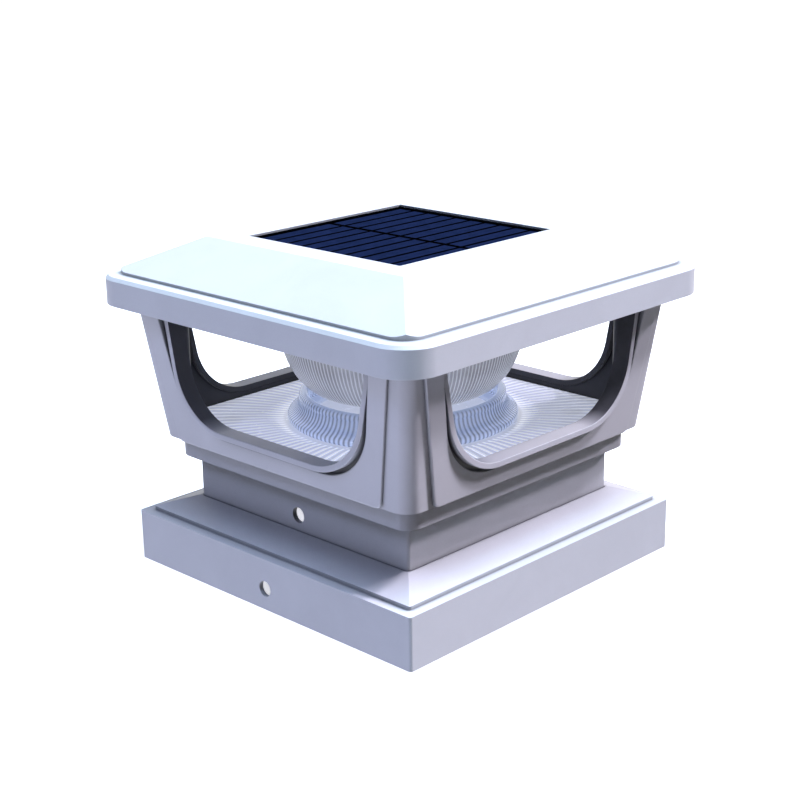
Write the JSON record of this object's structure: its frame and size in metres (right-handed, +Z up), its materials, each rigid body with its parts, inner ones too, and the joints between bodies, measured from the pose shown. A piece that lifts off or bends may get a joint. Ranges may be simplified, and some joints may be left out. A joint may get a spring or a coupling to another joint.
{
  "type": "post cap light",
  "caption": "Square solar post cap light: hipped roof with a solar panel, open lantern with bell and ring lenses, neck sleeve and a wide clip-on base.",
  "frame": {"origin": "centre of the square footprint at the underside of the wide base's skirt, the bottom centre of the whole object's box", "axes": "+Z up; -Y is the side with the visible screw holes and the switch, +Y the side with the battery door, +X to the right seen from -Y"},
  "size_m": [0.1634, 0.1634, 0.1277],
  "materials": {
    "white_plastic": "satin, injection moulded",
    "liner_plastic": "satin, injection moulded",
    "clear_prism": "clear, prismatic floor",
    "clear_lens": "clear, ribbed",
    "tray_plastic": "fine moulded grain",
    "rubber_gasket": "matt",
    "foam": "closed cell foam",
    "circuit_board": "solder mask",
    "white_board": "white solder mask",
    "solar_board": "black laminate",
    "silicon": "dark blue solar cell",
    "clear_cover": "clear cover",
    "steel": "plated steel",
    "black_plastic": "matt",
    "ferrite": "ferrite and copper",
    "can": "drawn can",
    "emitter": "phosphor",
    "cell_wrap": "shrink wrapped steel can",
    "wire_red": "insulated wire",
    "wire_black": "insulated wire"
  },
  "bodies": {
    "adapter": {"base_adapter": "white_plastic"},
    "lamp": {"neck_sleeve": "white_plastic", "lantern_frame": "white_plastic", "side_panel_front": "white_plastic", "side_panel_back": "white_plastic", "side_panel_left": "white_plastic", "side_panel_right": "white_plastic", "window_liner_front": "liner_plastic", "window_liner_back": "liner_plastic", "window_liner_left": "liner_plastic", "window_liner_right": "liner_plastic", "prism_plate": "clear_prism", "ring_lens": "clear_lens", "bell_lens": "clear_lens", "lens_screws": "steel", "roof_cover": "white_plastic", "roof_tray": "tray_plastic", "roof_gasket": "rubber_gasket", "panel_foam": "foam", "solar_board": "solar_board", "solar_strips": "silicon", "panel_cover": "clear_cover", "panel_leads": "wire_red", "main_board": "circuit_board", "control_chip": "black_plastic", "boost_inductor": "ferrite", "smoothing_caps": "can", "board_screws": "steel", "led_board": "white_board", "led_emitters": "emitter", "led_leads": "wire_red", "battery_cell": "cell_wrap", "battery_spring": "steel", "battery_plate": "steel", "battery_leads": "wire_black", "switch_body": "black_plastic", "switch_leads": "wire_black", "tray_screws": "steel", "frame_screws": "steel", "neck_screws": "steel"},
    "battery_door": {"battery_door": "tray_plastic"},
    "switch_slider": {"switch_slider": "black_plastic"}
  },
  "joints": [
    {"name": "lamp_lift", "type": "slide", "parent": "adapter", "child": "lamp", "axis": [0, 0, 1], "range_m": [0, 0.06]},
    {"name": "battery_door_hinge", "type": "hinge", "parent": "lamp", "child": "battery_door", "pos_m": [0, 0.0522, 0.1054], "axis": [-1, 0, 0], "range_deg": [0, 90]},
    {"name": "switch_slide", "type": "slide", "parent": "lamp", "child": "switch_slider", "axis": [1, 0, 0], "range_m": [0, 0.004]}
  ]
}
